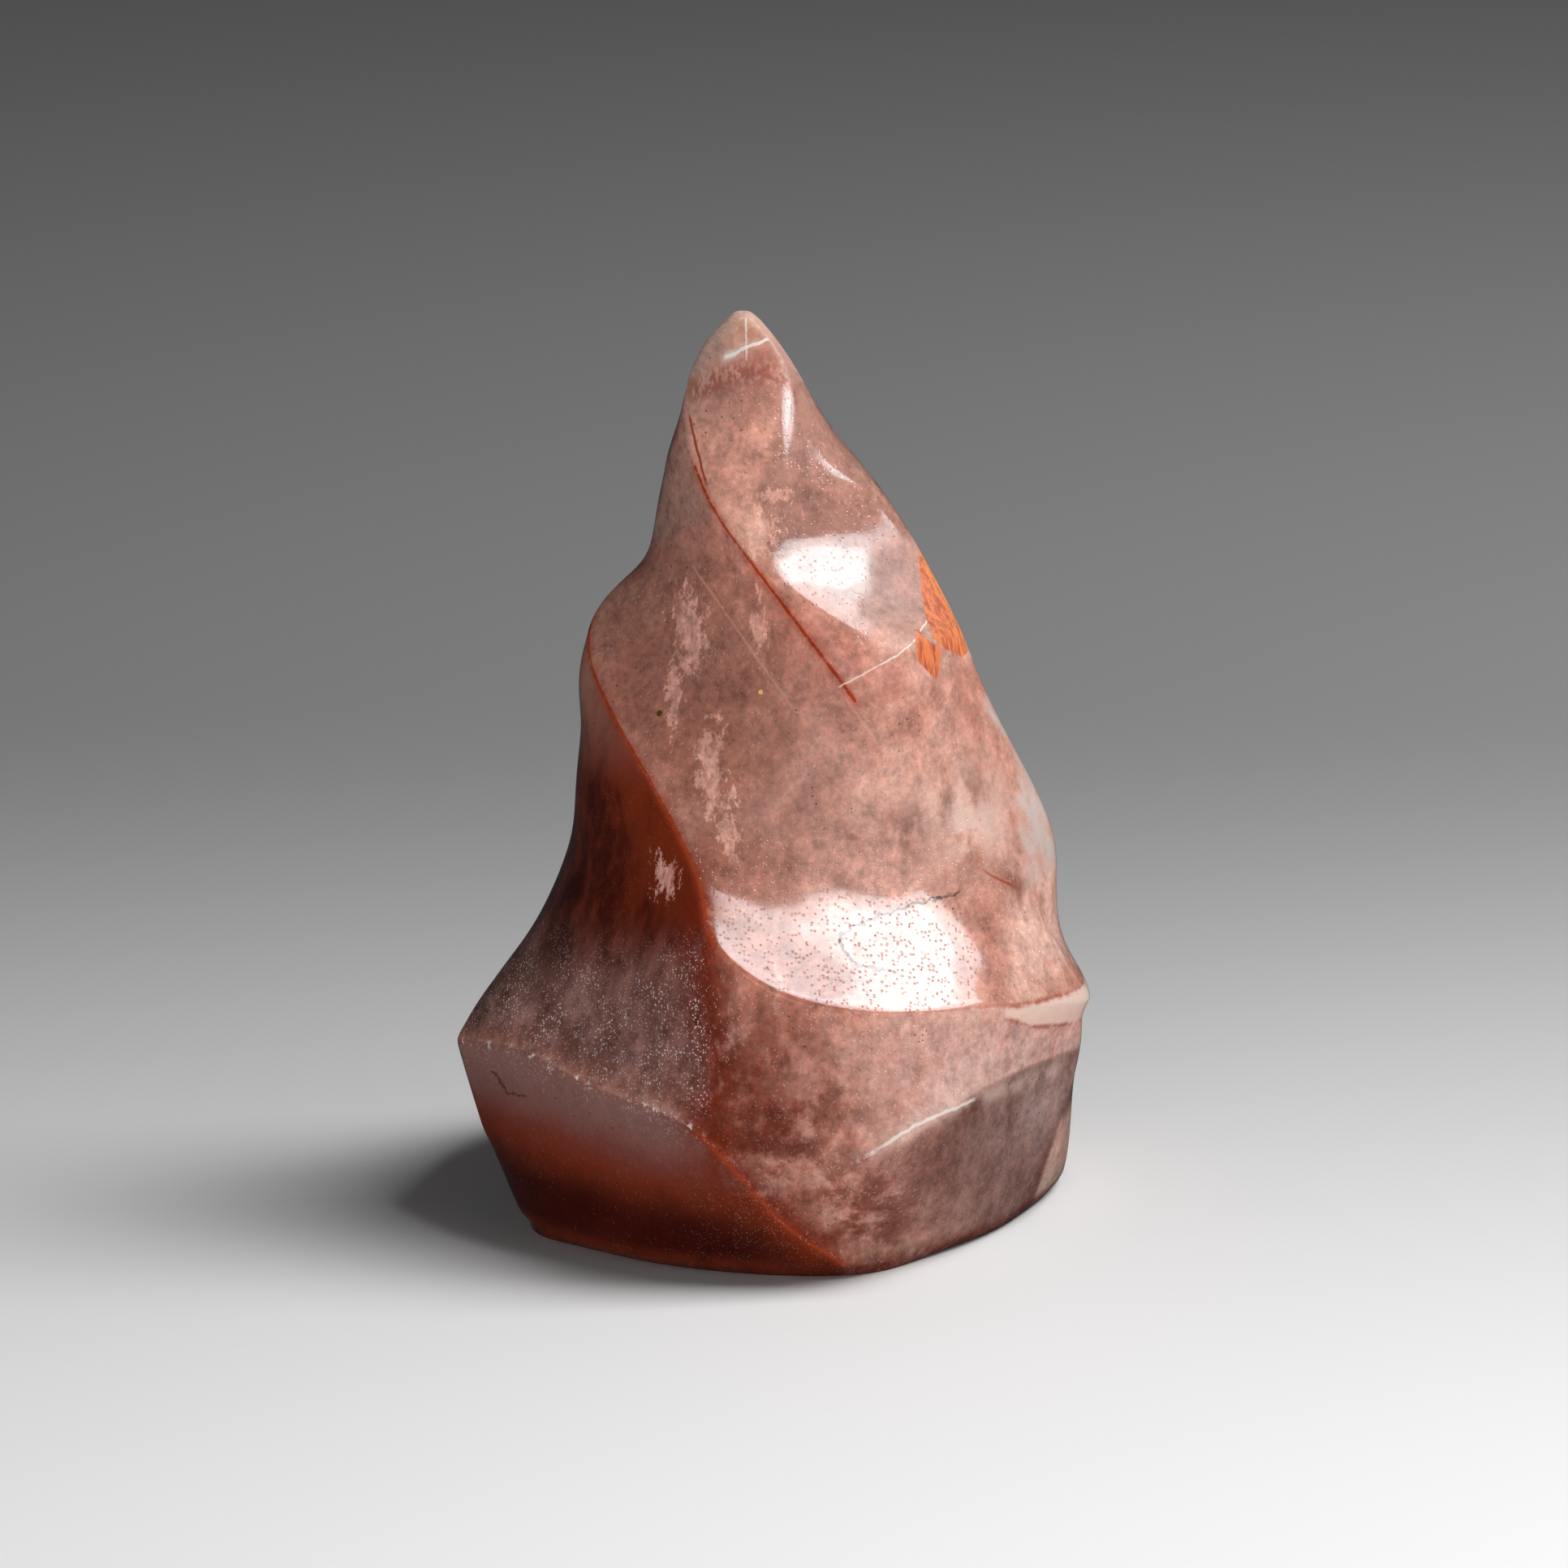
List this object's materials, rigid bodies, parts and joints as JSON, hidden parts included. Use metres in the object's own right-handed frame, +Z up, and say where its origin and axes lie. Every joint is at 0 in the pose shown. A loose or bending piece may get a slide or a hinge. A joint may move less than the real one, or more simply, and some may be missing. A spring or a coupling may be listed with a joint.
{
  "type": "polished stone freeform",
  "caption": "Polished quartz freeform carved as a twisted flame: hollowed facets between spiral ridges, a wider faceted foot, a small rounded tip and a flat base that it stands on.",
  "frame": {"origin": "on the base plane, under the middle of the stone's outline seen from above", "axes": "+Z up to the tip, -Y towards the side that the picture shows, +X to the right of that side"},
  "size_m": [0.0832, 0.0686, 0.12],
  "materials": {
    "strawberry_quartz": "polished, cloudy and partly see-through"
  },
  "bodies": {
    "root": {"quartz_flame": "strawberry_quartz"}
  },
  "joints": []
}
